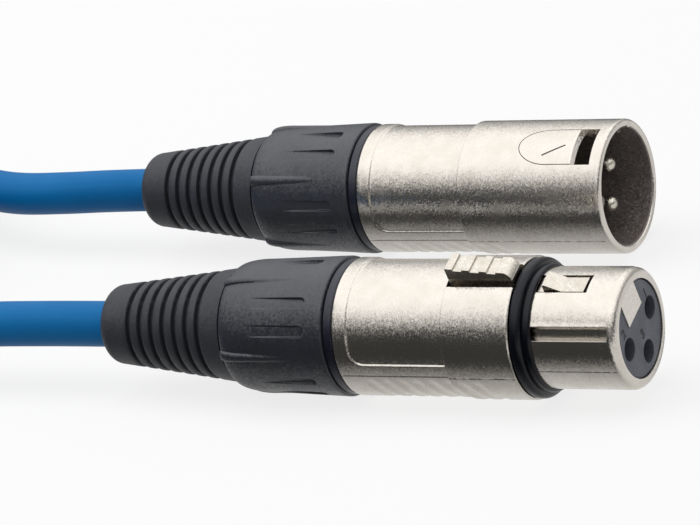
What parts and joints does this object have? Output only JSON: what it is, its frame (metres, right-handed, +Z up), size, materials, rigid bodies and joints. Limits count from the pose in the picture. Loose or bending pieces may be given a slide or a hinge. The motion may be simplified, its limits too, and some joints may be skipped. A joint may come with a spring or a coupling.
{
  "type": "balanced audio cable",
  "caption": "Coiled balanced audio cable with a male and a female three-pole locking connector, a push latch, screw-on nuts and ribbed rubber boots.",
  "frame": {"origin": "middle of the floor box of the two connectors, on the surface that they lie on", "axes": "+X along both connectors towards their mating faces, +Y from the female connector to the male one, +Z up"},
  "size_m": [0.2206, 0.0922, 0.0204],
  "materials": {
    "nickel": "satin nickel plate",
    "latch_steel": "bright",
    "silver": "silver plate",
    "gold": "plated brass",
    "insulator": "matt",
    "clamp": "matt",
    "black_ring": "satin",
    "rubber": "matt",
    "nut": "fine texture",
    "jacket": "satin blue jacket",
    "core_red": "satin",
    "core_white": "satin",
    "tie": "hook-and-loop fabric"
  },
  "bodies": {
    "connectors": {"male_shell": "nickel", "male_insert": "insulator", "male_contact_1": "silver", "male_contact_2": "silver", "male_contact_3": "silver", "male_ground_spring": "gold", "male_clamp": "clamp", "male_coding_ring": "black_ring", "male_cable_end": "jacket", "male_core_hot": "core_red", "male_core_cold": "core_white", "male_screen": "silver", "female_shell": "nickel", "female_insert": "insulator", "female_contact_1": "gold", "female_contact_2": "gold", "female_contact_3": "gold", "female_ground_spring": "gold", "latch_pin": "latch_steel", "latch_spring": "latch_steel", "female_front_ring": "rubber", "female_clamp": "clamp", "female_coding_ring": "black_ring", "female_cable_end": "jacket", "female_core_hot": "core_red", "female_core_cold": "core_white", "female_screen": "silver", "male_lead": "jacket", "cable_coil": "jacket", "female_lead": "jacket", "coil_tie": "tie"},
    "latch": {"latch_lever": "latch_steel"},
    "male_boot_body": {"male_boot": "rubber"},
    "male_nut_body": {"male_nut": "nut"},
    "female_boot_body": {"female_boot": "rubber"},
    "female_nut_body": {"female_nut": "nut"}
  },
  "joints": [
    {"name": "latch_press", "type": "hinge", "parent": "connectors", "child": "latch", "pos_m": [0.0476, -0.02668, 0.01405], "axis": [0, -0.9397, -0.342], "range_deg": [0, 6], "stiffness_Nm_per_rad": 0.02, "springref_deg": -5.73, "deforming": ["latch_spring"]},
    {"name": "male_boot_slide", "type": "slide", "parent": "connectors", "child": "male_boot_body", "axis": [-1, 0, 0], "range_m": [0, 0.003]},
    {"name": "male_nut_turn", "type": "hinge", "parent": "male_boot_body", "child": "male_nut_body", "pos_m": [-0.02975, 0.025, 0.00945], "axis": [-1, 0, 0], "range_deg": [0, 1080]},
    {"name": "female_boot_slide", "type": "slide", "parent": "connectors", "child": "female_boot_body", "axis": [-1, 0, 0], "range_m": [0, 0.003]},
    {"name": "female_nut_turn", "type": "hinge", "parent": "female_boot_body", "child": "female_nut_body", "pos_m": [-0.00775, -0.025, 0.00945], "axis": [-1, 0, 0], "range_deg": [0, 1080]}
  ],
  "couplings": [
    {"joint": "male_nut_turn", "follows": "male_boot_slide", "rad_per_m": 6283.2},
    {"joint": "female_nut_turn", "follows": "female_boot_slide", "rad_per_m": 6283.2}
  ]
}
